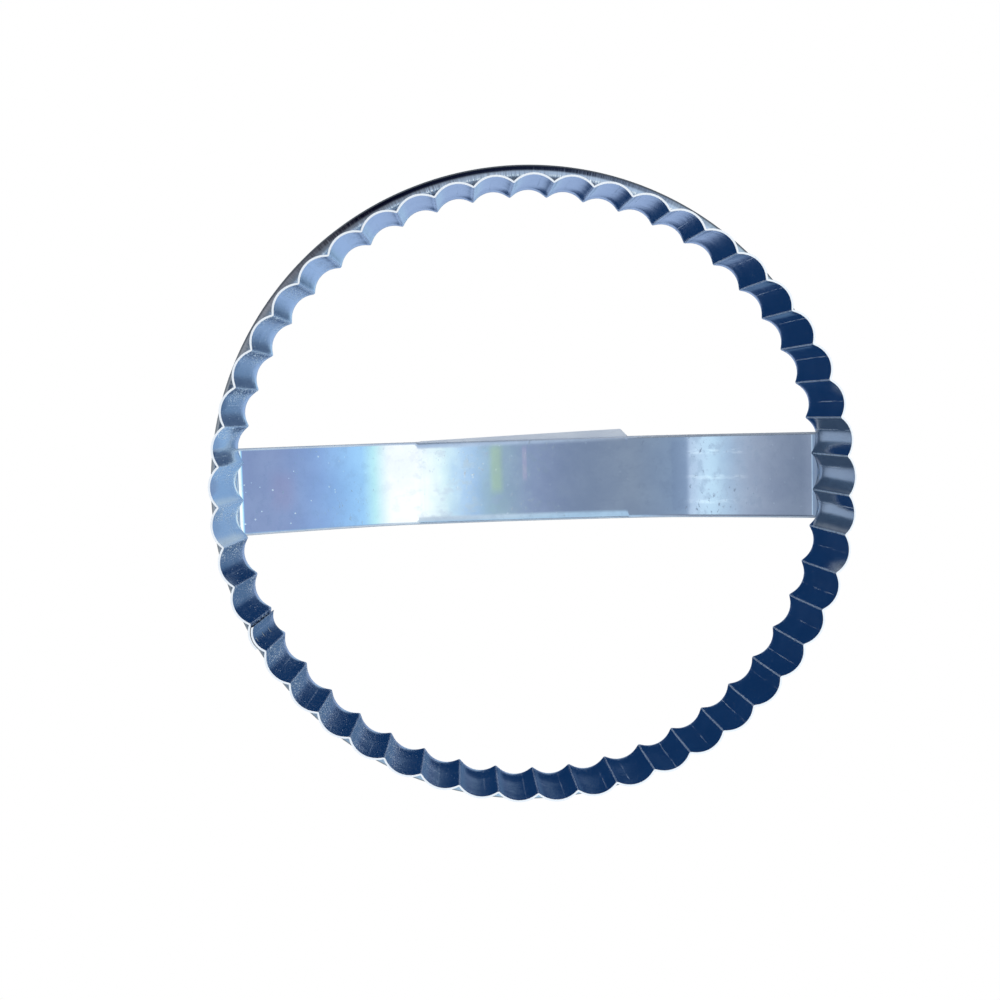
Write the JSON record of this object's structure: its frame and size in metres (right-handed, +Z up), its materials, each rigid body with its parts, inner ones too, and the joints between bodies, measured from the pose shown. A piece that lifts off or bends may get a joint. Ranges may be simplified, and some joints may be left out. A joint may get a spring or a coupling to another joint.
{
  "type": "biscuit cutter",
  "caption": "Round fluted biscuit cutter of bright sheet steel, with a rolled rim and an arched strap handle across it.",
  "frame": {"origin": "centre of the ring on the plane of the cutting edge, which is the lowest plane", "axes": "+Z up along the ring's axis to the handle, +X along the handle strap"},
  "size_m": [0.1632, 0.1632, 0.0481],
  "materials": {
    "band_steel": "bright rolled sheet steel, lightly marked by the flute press",
    "strap_steel": "bright rolled strip steel with fine scratches and specks",
    "weld_steel": "slightly sunken, dull spot weld"
  },
  "bodies": {
    "root": {"fluted_band": "band_steel", "seam_spot_welds": "weld_steel", "handle_strap": "strap_steel", "handle_spot_welds": "weld_steel"}
  },
  "joints": []
}
